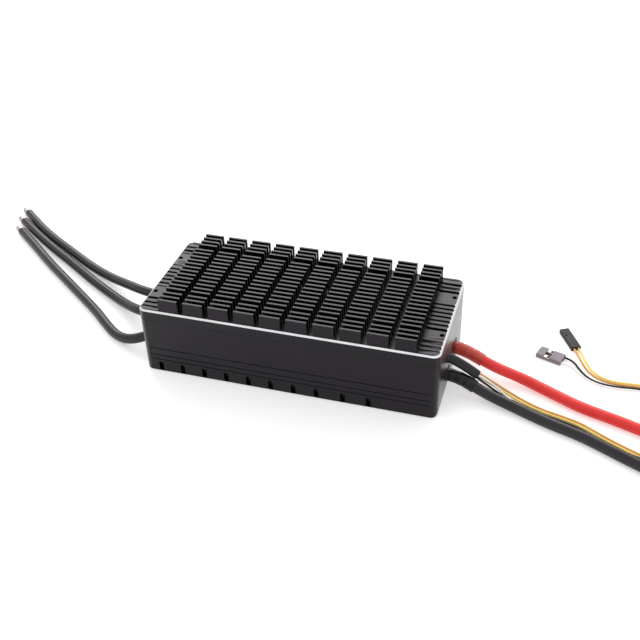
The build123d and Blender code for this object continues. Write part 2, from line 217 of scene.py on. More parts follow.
finishes = {
    "blackAnodising": {
        "base": (0.0085, 0.0062, 0.0088), "patches": (0.011, 0.0082, 0.0115),
        "rubbed": (0.05, 0.05, 0.055), "rubbing": 0.5,
        "gloss": (0.36, 0.46), "patchSize": 45, "grain": (1800, 0.000008), "stretch": (0.35, 1, 1),
        "shader": {"Metallic": 1.0, "Coat Weight": 0.9, "Coat IOR": 1.27, "Coat Roughness": 0.34},
    },
    "cutAluminium": {
        "base": (0.80, 0.80, 0.82), "patches": (0.70, 0.70, 0.72),
        "gloss": (0.22, 0.32), "patchSize": 200, "grain": (1500, 0.00002), "stretch": (0.2, 0.2, 1),
        "shader": {"Metallic": 1.0},
    },
    "redSilicone": {
        "base": (0.72, 0.030, 0.026), "patches": (0.66, 0.024, 0.022),
        "gloss": (0.34, 0.46), "patchSize": 70, "grain": (1300, 0.00004), "shader": {"IOR": 1.42},
    },
    "blackSilicone": {
        "base": (0.012, 0.009, 0.012), "patches": (0.017, 0.014, 0.018),
        "gloss": (0.26, 0.34), "patchSize": 70, "grain": (1300, 0.00003), "shader": {"IOR": 1.38},
    },
    "redShrink": {
        "base": (0.58, 0.062, 0.036), "patches": (0.50, 0.048, 0.028),
        "gloss": (0.30, 0.42), "patchSize": 90, "grain": (700, 0.00008), "shader": {"IOR": 1.48},
    },
    "blackShrink": {
        "base": (0.006, 0.006, 0.007), "patches": (0.010, 0.010, 0.011),
        "gloss": (0.28, 0.40), "patchSize": 90, "grain": (700, 0.00008), "shader": {"IOR": 1.38},
    },
    "greySleeve": {
        "base": (0.010, 0.010, 0.011), "patches": (0.016, 0.016, 0.017),
        "gloss": (0.38, 0.5), "patchSize": 120, "grain": (900, 0.00005), "shader": {"IOR": 1.36},
    },
    "tinnedStrands": {
        "base": (0.74, 0.69, 0.66), "patches": (0.56, 0.49, 0.45),
        "gloss": (0.30, 0.5), "patchSize": 900, "grain": (2200, 0.00004), "shader": {"Metallic": 1.0},
    },
    "orangeWire": {
        "base": (0.68, 0.34, 0.08), "patches": (0.62, 0.29, 0.07),
        "gloss": (0.34, 0.44), "patchSize": 120, "grain": (1500, 0.00002), "shader": {"IOR": 1.46},
    },
    "yellowWire": {
        "base": (0.86, 0.68, 0.17), "patches": (0.80, 0.62, 0.14),
        "gloss": (0.34, 0.44), "patchSize": 120, "grain": (1500, 0.00002), "shader": {"IOR": 1.46},
    },
    "whiteWire": {
        "base": (0.82, 0.81, 0.79), "patches": (0.76, 0.75, 0.73),
        "gloss": (0.34, 0.44), "patchSize": 120, "grain": (1500, 0.00002), "shader": {"IOR": 1.46},
    },
    "blackWire": {
        "base": (0.008, 0.008, 0.008), "patches": (0.013, 0.013, 0.013),
        "gloss": (0.34, 0.44), "patchSize": 120, "grain": (1500, 0.00002), "shader": {"IOR": 1.36},
    },
    "grommetRubber": {
        "base": (0.014, 0.014, 0.014), "patches": (0.022, 0.022, 0.022),
        "gloss": (0.5, 0.65), "patchSize": 150, "grain": (900, 0.00005), "shader": {"IOR": 1.5},
    },
    "greyMoulding": {
        "base": (0.19, 0.155, 0.18), "patches": (0.16, 0.13, 0.15),
        "rubbed": (0.30, 0.27, 0.30), "rubbing": 0.4,
        "gloss": (0.40, 0.50), "patchSize": 140, "grain": (1800, 0.00003), "shader": {"IOR": 1.42},
    },
    "blackMoulding": {
        "base": (0.005, 0.004, 0.008), "patches": (0.008, 0.007, 0.012),
        "rubbed": (0.05, 0.05, 0.06), "rubbing": 0.4,
        "gloss": (0.36, 0.46), "patchSize": 140, "grain": (1800, 0.00003), "shader": {"IOR": 1.3},
    },
    "platedContact": {
        "base": (0.86, 0.80, 0.66), "patches": (0.80, 0.70, 0.50),
        "gloss": (0.18, 0.3), "patchSize": 500, "grain": (2500, 0.00001), "shader": {"Metallic": 1.0},
    },
    "blackScrew": {
        "base": (0.05, 0.05, 0.055), "patches": (0.07, 0.07, 0.072),
        "rubbed": (0.3, 0.3, 0.3), "rubbing": 0.6,
        "gloss": (0.3, 0.45), "patchSize": 300, "grain": (2500, 0.00001), "shader": {"Metallic": 1.0},
    },
    "gasketRubber": {
        "base": (0.010, 0.010, 0.010), "patches": (0.016, 0.016, 0.016),
        "gloss": (0.6, 0.75), "patchSize": 80, "grain": (1200, 0.00003), "shader": {"IOR": 1.5},
    },
    "boardScrew": {
        "base": (0.60, 0.60, 0.61), "patches": (0.50, 0.50, 0.51),
        "gloss": (0.22, 0.34), "patchSize": 300, "grain": (2500, 0.00001), "shader": {"Metallic": 1.0},
    },
    "copperBar": {
        "base": (0.80, 0.42, 0.27), "patches": (0.66, 0.32, 0.20),
        "gloss": (0.22, 0.4), "patchSize": 120, "grain": (1500, 0.00002), "stretch": (0.2, 1, 1),
        "shader": {"Metallic": 1.0},
    },
    "chipPackage": {
        "base": (0.018, 0.018, 0.018), "patches": (0.026, 0.026, 0.026),
        "gloss": (0.45, 0.6), "patchSize": 200, "grain": (3000, 0.00003), "shader": {"IOR": 1.5},
    },
    "gapFiller": {
        "base": (0.40, 0.43, 0.47), "patches": (0.34, 0.37, 0.41),
        "gloss": (0.55, 0.7), "patchSize": 150, "grain": (1200, 0.00005), "shader": {"IOR": 1.45},
    },
    "capacitorSleeve": {
        "base": (0.025, 0.028, 0.05), "patches": (0.032, 0.035, 0.06),
        "gloss": (0.2, 0.3), "patchSize": 120, "grain": (900, 0.00002), "shader": {"IOR": 1.5},
    },
    "nylonPost": {
        "base": (0.76, 0.74, 0.68), "patches": (0.70, 0.68, 0.62),
        "gloss": (0.4, 0.5), "patchSize": 200, "grain": (1500, 0.00003), "shader": {"IOR": 1.52},
    },
    "ferrite": {
        "base": (0.06, 0.06, 0.065), "patches": (0.09, 0.09, 0.095),
        "gloss": (0.45, 0.6), "patchSize": 400, "grain": (2500, 0.00004), "shader": {"IOR": 1.6},
    },
    "headerPlastic": {
        "base": (0.020, 0.020, 0.022), "patches": (0.028, 0.028, 0.030),
        "gloss": (0.35, 0.45), "patchSize": 200, "grain": (1800, 0.00003), "shader": {"IOR": 1.5},
    },
    "solderMask": {
        "base": (0.012, 0.085, 0.035), "patches": (0.016, 0.105, 0.045),
        "gloss": (0.2, 0.3), "patchSize": 90, "grain": (1200, 0.00002),
        "shader": {"IOR": 1.5, "Coat Weight": 0.5},
    },
}
finish = {name: makeFinish(name, look) for name, look in finishes.items()}


# copper runs under the solder mask: rows of bricks in a paler green
traces = {
    "scale": 120, "gap": 0.03, "run": (0.014, 0.115, 0.05), "runToo": (0.012, 0.095, 0.04),
    "between": (0.008, 0.06, 0.025),
}


def addTraces(material, look):
    tree = material.node_tree
    shader = tree.nodes["Principled BSDF"]
    coords = tree.nodes.new("ShaderNodeTexCoord")
    bricks = tree.nodes.new("ShaderNodeTexBrick")
    bricks.inputs["Scale"].default_value = look["scale"]
    bricks.inputs["Mortar Size"].default_value = look["gap"]
    bricks.inputs["Color1"].default_value = (*look["run"], 1)
    bricks.inputs["Color2"].default_value = (*look["runToo"], 1)
    bricks.inputs["Mortar"].default_value = (*look["between"], 1)
    tree.links.new(coords.outputs["Object"], bricks.inputs["Vector"])
    tree.links.new(bricks.outputs["Color"], shader.inputs["Base Color"])


addTraces(finish["solderMask"], traces)
print(len(finish), "finishes made")


def addPiece(name, mesh, materials, stoodFor=()):
    # a finished piece sits at the origin, with its place in its mesh
    thing = bpy.data.objects.new(name, mesh)
    for material in materials:
        mesh.materials.append(finish[material])
    scene.collection.objects.link(thing)
    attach(thing, "root")
    if stoodFor:
        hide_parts(*stoodFor)
    return thing


def closeMesh(bm, name):
    mesh = bpy.data.meshes.new(name)
    bm.to_mesh(mesh)
    bm.free()
    return mesh


def evenShading(thing, sharpAngle=50):
    thing.data.shade_smooth()
    thing.data.set_sharp_from_angle(angle=math.radians(sharpAngle))
    weighted = thing.modifiers.new("evenNormals", "WEIGHTED_NORMAL")
    weighted.keep_sharp = True


def markEdges(faces, layer):
    for face in faces:
        face[layer] = 1


def bevelEdges(bm, edges, width, segments):
    return bmesh.ops.bevel(
        bm, geom=edges, offset=width, offset_type="OFFSET", affect="EDGES", segments=segments, profile=0.5,
        material=-1, clamp_overlap=True, loop_slide=True,
    )["faces"]


# leads and signal wires: a soft line through each route, straight out of its entry and down to the floor
softLines = {"steps": 14, "sides": 10, "thinSides": 5, "thinBelow": 0.003}


def softCurve(name, route, diameter):
    curve = bpy.data.curves.new(name, "CURVE")
    curve.dimensions = "3D"
    spline = curve.splines.new("NURBS")
    spline.points.add(len(route) - 1)
    for point, place in zip(spline.points, route):
        point.co = (*place, 1)
    spline.order_u = 3
    spline.use_endpoint_u = True
    spline.resolution_u = softLines["steps"]
    curve.bevel_depth = diameter / 2
    curve.bevel_resolution = softLines["sides" if diameter > softLines["thinBelow"] else "thinSides"]
    curve.use_fill_caps = True
    return curve


def softLine(route, steps):
    # the points of the soft line itself
    curve = softCurve("line", route, 0)
    curve.splines[0].resolution_u = steps
    thing = bpy.data.objects.new("line", curve)
    scene.collection.objects.link(thing)
    mesh = bpy.data.meshes.new_from_object(thing)
    points = [vertex.co.copy() for vertex in mesh.vertices]
    bpy.data.objects.remove(thing)
    bpy.data.meshes.remove(mesh)
    return points


def layLead(name, node, look):
    curve = softCurve(name, look["route"], look["diameter"])
    curve.materials.append(finish[look["finish"]])
    lead = bpy.data.objects.new(name, curve)
    scene.collection.objects.link(lead)
    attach(lead, "root")
    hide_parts(node)
    return lead


motorLeads = {
    "diameter": 0.0056, "finish": "blackSilicone", "slot": "black_silicone", "length": 0.180,
    "a": [
        (-0.073, 0.015, 0.012), (-0.089, 0.015, 0.012), (-0.1055, 0.0184, 0.0112), (-0.121, 0.0273, 0.0074),
        (-0.137, 0.0362, 0.0038), (-0.155, 0.0456, 0.0028), (-0.176, 0.0584, 0.0028),
        (-0.197, 0.071, 0.0028), (-0.214, 0.0832, 0.0028), (-0.229, 0.0955, 0.0028),
    ],
    "b": [
        (-0.073, -0.001, 0.011), (-0.087, -0.001, 0.011), (-0.101, 0.0022, 0.009), (-0.115, 0.0116, 0.0048),
        (-0.131, 0.022, 0.0028), (-0.150, 0.0334, 0.0028), (-0.170, 0.0468, 0.0028),
        (-0.190, 0.0592, 0.0028), (-0.209, 0.0722, 0.0028), (-0.226, 0.0848, 0.0028),
    ],
    "c": [
        (-0.073, -0.017, 0.0095), (-0.084, -0.017, 0.0095), (-0.0955, -0.0196, 0.005),
        (-0.1065, -0.0162, 0.0028), (-0.117, -0.0082, 0.0028), (-0.130, 0.0032, 0.0028),
        (-0.145, 0.0144, 0.0028), (-0.163, 0.0278, 0.0028), (-0.184, 0.0434, 0.0028),
        (-0.204, 0.0596, 0.0028), (-0.221, 0.073, 0.0028),
    ],
}
powerLeads = {
    "diameter": 0.0058,
    "red": {
        "finish": "redSilicone", "slot": "red_silicone", "length": 0.132,
        "route": [
            (0.073, 0.012, 0.012), (0.0830, 0.012, 0.0118), (0.101, 0.007, 0.0064), (0.117, 0.0042, 0.0039),
            (0.133, -0.0026, 0.0029), (0.149, -0.0104, 0.0029), (0.166, -0.0152, 0.0029),
            (0.183, -0.0212, 0.0029), (0.198, -0.024, 0.0029),
        ],
    },
    "black": {
        "finish": "blackSilicone", "slot": "black_silicone", "length": 0.135,
        "route": [
            (0.073, -0.008, 0.009), (0.0845, -0.008, 0.009), (0.100, -0.0134, 0.0046),
            (0.118, -0.0195, 0.0031), (0.134, -0.026, 0.0029), (0.151, -0.0312, 0.0029),
            (0.168, -0.0395, 0.0029), (0.185, -0.0474, 0.0029), (0.1995, -0.051, 0.0029),
        ],
    },
}
signalWires = {
    "diameter": 0.0012,
    "sleeveDiameter": 0.005,
    "sleeve": [(0.074, -0.0064, 0.0192), (0.0820, -0.0064, 0.0192), (0.0953, -0.0068, 0.0102)],
    "orange": [
        (0.0956, -0.0059, 0.0110), (0.1030, -0.0058, 0.0066), (0.1115, -0.0064, 0.0022),
        (0.120, -0.0096, 0.0006), (0.1295, -0.014, 0.0006), (0.140, -0.0166, 0.0006),
        (0.1505, -0.0198, 0.0006), (0.161, -0.0262, 0.0006), (0.1731, -0.0322, 0.0006),
        (0.1846, -0.0371, 0.0006), (0.196, -0.0402, 0.0006), (0.2085, -0.0377, 0.0006),
        (0.2168, -0.0284, 0.0006), (0.2199, -0.016, 0.0006), (0.2173, -0.0036, 0.0006),
        (0.2095, 0.0057, 0.0006), (0.1983, 0.0118, 0.0006), (0.1862, 0.015, 0.0006),
        (0.176, 0.0167, 0.0006), (0.1655, 0.0154, 0.0006), (0.157, 0.0169, 0.0006),
        (0.1508, 0.0212, 0.0006), (0.1466, 0.0282, 0.0006), (0.1435, 0.0349, 0.0013),
        (0.1411, 0.0394, 0.0013),
    ],
    "yellow": [
        (0.0946, -0.0059, 0.0096), (0.1022, -0.0062, 0.0052), (0.1105, -0.0074, 0.0019),
        (0.119, -0.0112, 0.0006), (0.1288, -0.0157, 0.0006), (0.1395, -0.0183, 0.0006),
        (0.1498, -0.0215, 0.0006), (0.1602, -0.0278, 0.0006), (0.1724, -0.0338, 0.0006),
        (0.1842, -0.0388, 0.0006), (0.1961, -0.0419, 0.0006), (0.2095, -0.0391, 0.0006),
        (0.2183, -0.0292, 0.0006), (0.2215, -0.016, 0.0006), (0.2188, -0.0029, 0.0006),
        (0.2106, 0.007, 0.0006), (0.199, 0.0134, 0.0006), (0.1865, 0.0167, 0.0006), (0.176, 0.0184, 0.0006),
        (0.1657, 0.0171, 0.0006), (0.1578, 0.0186, 0.0006), (0.1523, 0.0228, 0.0006),
        (0.1486, 0.0294, 0.0006), (0.1457, 0.0361, 0.0013), (0.1433, 0.0406, 0.0013),
    ],
    "white": [
        (0.0956, -0.0077, 0.0110), (0.1030, -0.0079, 0.0074), (0.1105, -0.0110, 0.0034),
        (0.1176, -0.0145, 0.0006), (0.1275, -0.019, 0.0006), (0.1383, -0.0217, 0.0006),
        (0.1484, -0.0248, 0.0006), (0.1586, -0.0309, 0.0006), (0.1708, -0.037, 0.0006),
        (0.1806, -0.0406, 0.0010), (0.1907, -0.0412, 0.0044), (0.201, -0.0389, 0.0044),
        (0.2086, -0.0317, 0.0016), (0.2137, -0.026, 0.0006), (0.2165, -0.016, 0.0006),
        (0.2142, -0.0051, 0.0006), (0.2074, 0.003, 0.0006), (0.197, 0.0087, 0.0006),
        (0.1855, 0.0118, 0.0006), (0.176, 0.0133, 0.0006), (0.166, 0.0119, 0.0006),
        (0.1568, 0.0123, 0.0006), (0.1499, 0.0155, 0.0006), (0.1448, 0.0204, 0.0006),
        (0.1399, 0.0241, 0.0013), (0.1354, 0.0256, 0.0013),
    ],
    "black": [
        (0.0946, -0.0077, 0.0096), (0.1018, -0.0085, 0.0052), (0.110, -0.0098, 0.0013),
        (0.1183, -0.0128, 0.0006), (0.1282, -0.0173, 0.0006), (0.139, -0.020, 0.0006),
        (0.1491, -0.0231, 0.0006), (0.1594, -0.0293, 0.0006), (0.1716, -0.0354, 0.0006),
        (0.1806, -0.0406, 0.0036), (0.191, -0.043, 0.0044), (0.2023, -0.0403, 0.0044),
        (0.2104, -0.0326, 0.0016), (0.2153, -0.0266, 0.0006), (0.2182, -0.016, 0.0006),
        (0.2157, -0.0044, 0.0006), (0.2085, 0.0043, 0.0006), (0.1977, 0.0103, 0.0006),
        (0.1858, 0.0134, 0.0006), (0.176, 0.015, 0.0006), (0.1658, 0.0135, 0.0006),
        (0.1568, 0.0139, 0.0006), (0.1503, 0.017, 0.0006), (0.1455, 0.0229, 0.0006),
        (0.1415, 0.029, 0.0013), (0.137, 0.0305, 0.0013),
    ],
}
# each wire: its length, finish and slot
wires = {
    "orange": (0.253, "orangeWire", "orange_wire"), "yellow": (0.257, "yellowWire", "yellow_wire"),
    "white": (0.242, "whiteWire", "white_wire"), "black": (0.249, "blackWire", "thin_black_wire"),
}


def ringEdges(ring):
    held = set(ring)
    return [edge for edge in {e for vertex in ring for e in vertex.link_edges} if set(edge.verts) <= held]


def joinRings(bm, rings, hollow=False):
    # skin a row of rings; a hollow one closes on itself, and a solid one is capped
    loops = [ringEdges(ring) for ring in rings]
    for here, after in zip(loops, loops[1:]):
        bmesh.ops.bridge_loops(bm, edges=here + after)
    if hollow:
        bmesh.ops.bridge_loops(bm, edges=loops[-1] + loops[0])
    else:
        for loop in (loops[0], loops[-1]):
            bmesh.ops.contextual_create(bm, geom=loop)
    bmesh.ops.recalc_face_normals(bm, faces=bm.faces)


def ringAt(bm, place, along, radius, sides, turn=0.0):
    spot = Matrix.Translation(place) @ along.to_track_quat("Z", "Y").to_matrix().to_4x4()
    spot = spot @ Matrix.Rotation(math.radians(turn), 4, "Z")
    return bmesh.ops.create_circle(bm, cap_ends=False, radius=radius, segments=sides, matrix=spot)["verts"]


def directions(points):
    ends = zip([points[0]] + points[:-1], points[1:] + [points[-1]])
    return [(after - before).normalized() for before, after in ends]


tinnedEnd = {
    "motorRadius": 0.0025, "motorLength": 0.007, "powerRadius": 0.0022, "powerLength": 0.008,
    "strands": 18, "groove": 0.90, "lay": 11.0, "steps": 9,
    "taperFrom": 0.8, "taper": 0.35, "insideLead": 0.0004,
}


def makeTinnedEnd(name, node, route, radius, length):
    # soldered strands: a grooved bar with a slow twist, drawn in at the tip
    tip, before = Vector(route[-1]), Vector(route[-2])
    along = (tip - before).normalized()
    bm = bmesh.new()
    rings = []
    for step in range(tinnedEnd["steps"]):
        share = step / (tinnedEnd["steps"] - 1)
        pastTaper = max(share - tinnedEnd["taperFrom"], 0) / (1 - tinnedEnd["taperFrom"])
        size = radius * (1 - tinnedEnd["taper"] * pastTaper ** 2)
        place = tip + along * (length * share - tinnedEnd["insideLead"])
        ring = ringAt(bm, place, along, size, tinnedEnd["strands"] * 2, tinnedEnd["lay"] * step)
        grooved = Vector((1, 1, 1)) * tinnedEnd["groove"]
        bmesh.ops.scale(bm, vec=grooved, space=Matrix.Translation(-place), verts=ring[::2])
        rings.append(ring)
    joinRings(bm, rings)
    piece = addPiece(name, closeMesh(bm, name), ["tinnedStrands"], [node])
    evenShading(piece, 60)
    return piece


shrinkSleeve = {
    "wall": 0.0005, "gap": 0.00004, "sides": 40, "steps": 24, "shortBy": 0.0012,
    "ripple": 0.00005, "longWave": 0.9, "shortWave": 2.3, "shortShare": 0.6, "lip": 0.00003, "lipRings": 4,
}


def makeShrinkSleeve(name, node, look, finishName, slotName):
    # a shrunk tube over the root of a lead, with a slightly proud lip and faint ripples
    low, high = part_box(node)
    line = softLine(look["route"], shrinkSleeve["steps"])
    points = [p for p in line if low.x <= p.x <= high.x - shrinkSleeve["shortBy"]]
    along = directions(points)
    inner = powerLeads["diameter"] / 2 + shrinkSleeve["gap"]
    bm = bmesh.new()
    inside = [ringAt(bm, p, d, inner, shrinkSleeve["sides"]) for p, d in zip(points, along)]
    outside = []
    last = len(points) - 1
    for index, (p, d) in enumerate(zip(points, along)):
        short = shrinkSleeve["shortShare"] * math.sin(index * shrinkSleeve["shortWave"])
        swell = shrinkSleeve["ripple"] * (math.sin(index * shrinkSleeve["longWave"]) + short)
        swell += shrinkSleeve["lip"] if last - shrinkSleeve["lipRings"] < index < last else 0
        outside.append(ringAt(bm, p, d, inner + shrinkSleeve["wall"] + swell, shrinkSleeve["sides"]))
    joinRings(bm, inside + outside[::-1], hollow=True)
    piece = addPiece(name, closeMesh(bm, name), [finishName], [node])
    evenShading(piece, 40)
    return piece


# mouth: how far past the end each ring lies, and its share of the radius
signalSleeve = {
    "steps": 20, "sides": 36, "ripple": 0.012, "wave": 1.3,
    "mouth": ((0.00015, 0.93), (0.0001, 0.72), (-0.0004, 0.66)),
}


def makeSignalSleeve():
    points = softLine(signalWires["sleeve"], signalSleeve["steps"])
    along = directions(points)
    radius = signalWires["sleeveDiameter"] / 2
    sides = signalSleeve["sides"]
    bm = bmesh.new()
    rings = []
    for index, (p, d) in enumerate(zip(points, along)):
        swell = signalSleeve["ripple"] * math.sin(index * signalSleeve["wave"])
        rings.append(ringAt(bm, p, d, radius * (1 + swell), sides))
    end, way = points[-1], along[-1]
    for past, share in signalSleeve["mouth"]:
        rings.append(ringAt(bm, end + way * past, way, radius * share, sides))
    joinRings(bm, rings)
    mesh = closeMesh(bm, "signalSleeve")
    piece = addPiece("signalSleeve", mesh, ["greySleeve"], ["signal_sleeve"])
    evenShading(piece, 45)
    return piece


# how far the frame's solids are merged, and how wide each kind's broken edge is
softened = {
    "merge": 0.000002, "flat": 0.5, "sharpFrom": 35, "segments": 2,
    "plug": 0.00009, "contact": 0.00004, "case": 0.00014, "screw": 0.00012,
}


def softCopy(name, node, kind, material, slotName):
    # the frame's own solid, merged and with its hard edges broken
    bm = bmesh.new()
    bm.from_mesh(nodes[node].data)
    edgeLayer = bm.faces.layers.float.new("edge")
    bmesh.ops.remove_doubles(bm, verts=bm.verts, dist=softened["merge"])
    bmesh.ops.dissolve_limit(bm, angle_limit=math.radians(softened["flat"]), verts=bm.verts, edges=bm.edges)
    sharp = math.radians(softened["sharpFrom"])
    hard = [e for e in bm.edges if len(e.link_faces) == 2 and e.calc_face_angle() > sharp]
    markEdges(bevelEdges(bm, hard, softened[kind], softened["segments"]), edgeLayer)
    piece = addPiece(name, closeMesh(bm, name), [material], [node])
    evenShading(piece)
    return piece


def layLeads():
    radius, length = tinnedEnd["motorRadius"], tinnedEnd["motorLength"]
    for key in ("a", "b", "c"):
        route = motorLeads[key]
        look = {**motorLeads, "route": route}
        lead = layLead(f"motorLead{key.upper()}", f"motor_lead_{key}", look)
        tip = makeTinnedEnd(f"motorLeadTip{key.upper()}", f"motor_lead_tip_{key}", route, radius, length)
    sleeveFinish = {"red": ("redShrink", "red_shrink"), "black": ("blackShrink", "black_shrink")}
    radius, length = tinnedEnd["powerRadius"], tinnedEnd["powerLength"]
    for key in ("red", "black"):
        look = {**powerLeads[key], "diameter": powerLeads["diameter"]}
        lead = layLead(f"{key}PowerLead", f"{key}_power_lead", look)
        tip = makeTinnedEnd(f"{key}LeadTip", f"{key}_lead_tip", look["route"], radius, length)
        sleeve = makeShrinkSleeve(f"{key}LeadSleeve", f"{key}_lead_sleeve", look, *sleeveFinish[key])
    print("leads laid")


def layWires():
    sleeve = makeSignalSleeve()
    greyPlug = softCopy("greyPlug", "grey_plug", "plug", "greyMoulding", "grey_plug")
    blackPlug = softCopy("blackPlug", "black_plug", "plug", "blackMoulding", "black_plug")
    metal = ("contact", "platedContact", "contact")
    greyContacts = softCopy("greyPlugContacts", "grey_plug_contacts", *metal)
    blackContacts = softCopy("blackPlugContacts", "black_plug_contacts", *metal)
    for key, (length, finishName, slotName) in wires.items():
        route, diameter = signalWires[key], signalWires["diameter"]
        look = {"route": route, "diameter": diameter, "finish": finishName, "slot": slotName}
        wire = layLead(f"{key}SignalWire", f"{key}_signal_wire", look)
    print("signal wires laid")


layLeads()
layWires()


# the finned cover: one plate with every fin and ridge drawn up out of its top
finnedCover = {
    "corner": 0.004, "rim": 0.0008, "plate": 0.0057, "fin": 0.0072, "ridge": 0.0003, "ridgeGap": 0.0005,
    "columns": 10, "columnWidth": 0.0108, "columnPitch": 0.01393, "columnHalf": 0.068085,
    "finThickness": 0.00135, "finPitch": 0.00355,
    "rows": ((-0.0331, 3, 1), (-0.0218, 12, 1), (0.0331, 4, -1)),  # first fin, how many, which way
    "ridgeEnd": 0.0792, "cornerRidgeEnd": 0.0765,
    "holeX": 0.0774, "holeY": 0.0168, "holeRadius": 0.00125, "holePad": 0.005, "holeCell": 0.0017,
    "screwX": 0.069, "screwY": 0.0264, "screwRadius": 0.0015, "screwDepth": 0.0045,
    "holeSides": 32, "drillPast": 0.001,
    "softEdge": 0.00012, "softSteps": 2, "hardFrom": 60, "cornerSteps": 10,
    "flat": 0.99, "nearlyFlat": 0.95, "slope": (0.5, 0.9),  # how far up a face looks, from 0 to 1
    "near": 0.000001, "raised": 0.00001, "overShare": 0.4, "merge": 0.0000001,
}


def finRows():
    rows = []
    for start, count, way in finnedCover["rows"]:
        rows += [start + way * k * finnedCover["finPitch"] for k in range(count)]
    return sorted(rows)


def topFaces(bm, level, lowX=-1.0, highX=1.0):
    found = []
    for face in bm.faces:
        middle = face.calc_center_median()
        atLevel = abs(middle.z - level) < finnedCover["near"]
        if face.normal.z > finnedCover["flat"] and atLevel and lowX < middle.x < highX:
            found.append(face)
    return found


def cutFaces(bm, faces, place, normal):
    edges = {edge for face in faces for edge in face.edges}
    vertices = {vertex for face in faces for vertex in face.verts}
    bmesh.ops.bisect_plane(bm, geom=[*faces, *edges, *vertices], dist=finnedCover["merge"],
                           plane_co=place, plane_no=normal)


def drawUp(bm, faces, height):
    made = bmesh.ops.extrude_face_region(bm, geom=faces)["geom"]
    vertices = [item for item in made if isinstance(item, bmesh.types.BMVert)]
    bmesh.ops.translate(bm, verts=vertices, vec=(0, 0, height))
    return [item for item in made if isinstance(item, bmesh.types.BMFace)]


def drillHoles(thing, holes):
    # holes: (x, y, from z, to z, radius)
    bm = bmesh.new()
    for x, y, low, high, radius in holes:
        middle = Matrix.Translation((x, y, (low + high) / 2))
        bmesh.ops.create_cone(bm, cap_ends=True, segments=finnedCover["holeSides"], radius1=radius,
                              radius2=radius, depth=high - low, matrix=middle)
    cutter = bpy.data.objects.new("cutter", closeMesh(bm, "cutter"))
    scene.collection.objects.link(cutter)
    cut = thing.modifiers.new("holes", "BOOLEAN")
    cut.operation = "DIFFERENCE"
    cut.solver = "EXACT"
    cut.object = cutter
    bpy.context.view_layer.update()
    mesh = bpy.data.meshes.new_from_object(thing.evaluated_get(bpy.context.evaluated_depsgraph_get()))
    thing.modifiers.clear()
    thing.data = mesh
    bpy.data.objects.remove(cutter)


def makePlate(bm, look, low, high, deck):
    # a flat plate with rounded corners and a cut rim
    bmesh.ops.create_cube(bm, size=1)
    bmesh.ops.scale(bm, vec=(high.x - low.x, high.y - low.y, look["plate"]), verts=bm.verts)
    bmesh.ops.translate(bm, vec=(0, 0, low.z + look["plate"] / 2), verts=bm.verts)
    upright = [e for e in bm.edges if abs(e.verts[0].co.z - e.verts[1].co.z) > look["raised"]]
    bevelEdges(bm, upright, look["corner"], look["cornerSteps"])
    rim = [e for e in bm.edges if all(abs(v.co.z - deck) < look["near"] for v in e.verts)]
    for face in bevelEdges(bm, rim, look["rim"], 1):
        face.material_index = 1


def cutFinGrid(bm, look, deck, rows, ridged):
    # the deck is cut along both sides of every fin and ridge
    half = look["columnHalf"]
    clear = half + look["ridgeGap"]
    for x in (-clear, -half, half, clear):
        cutFaces(bm, topFaces(bm, deck), (x, 0, 0), (1, 0, 0))
    for k in range(look["columns"]):
        start = k * look["columnPitch"] - half
        for x in (start, start + look["columnWidth"]):
            cutFaces(bm, topFaces(bm, deck), (x, 0, 0), (1, 0, 0))
    for y in rows:
        for edge in (y - look["finThickness"] / 2, y + look["finThickness"] / 2):
            cutFaces(bm, topFaces(bm, deck, -half, half), (0, edge, 0), (0, 1, 0))
            if y in ridged:
                cutFaces(bm, topFaces(bm, deck, -1, -clear), (0, edge, 0), (0, 1, 0))
                cutFaces(bm, topFaces(bm, deck, clear, 1), (0, edge, 0), (0, 1, 0))


def cutRoundHoles(bm, look, deck, holes):
    # a small cell round each hole keeps the drilled faces short
    clear = look["columnHalf"] + look["ridgeGap"]

    def flangeFaces(x, y, reach):
        middles = [(face, face.calc_center_median()) for face in topFaces(bm, deck)]
        return [f for f, m in middles if m.x * math.copysign(1, x) > clear and abs(m.y - y) < reach]

    for x, y in holes:
        for edge in (y - look["holeCell"], y + look["holeCell"]):
            cutFaces(bm, flangeFaces(x, y, look["holePad"]), (0, edge, 0), (0, 1, 0))
        for edge in (x - look["holeCell"], x + look["holeCell"]):
            cutFaces(bm, flangeFaces(x, y, look["holeCell"] / 2), (edge, 0, 0), (1, 0, 0))


def pickFins(bm, look, deck, rows, ridged):
    half, outer = look["columnHalf"], (rows[0], rows[-1])
    clear = half + look["ridgeGap"]

    def overRow(y, chosen):
        return any(abs(y - row) < look["finThickness"] * look["overShare"] for row in chosen)

    def overColumn(x):
        starts = [k * look["columnPitch"] - half for k in range(look["columns"])]
        return any(start < x < start + look["columnWidth"] for start in starts)

    # the outermost ridges stop short of the rounded corners
    corners = [f for f in topFaces(bm, deck) if abs(f.calc_center_median().x) > clear]
    corners = [f for f in corners if overRow(f.calc_center_median().y, outer)]
    for side in (-1, 1):
        near = [f for f in corners if f.calc_center_median().x * side > 0]
        cutFaces(bm, near, (side * look["cornerRidgeEnd"], 0, 0), (1, 0, 0))
    fins, ridges = [], []
    for face in topFaces(bm, deck):
        middle = face.calc_center_median()
        if overColumn(middle.x) and overRow(middle.y, rows):
            fins.append(face)
        elif abs(middle.x) > clear and overRow(middle.y, ridged):
            if not (overRow(middle.y, outer) and abs(middle.x) > look["cornerRidgeEnd"]):
                ridges.append(face)
    return fins, ridges


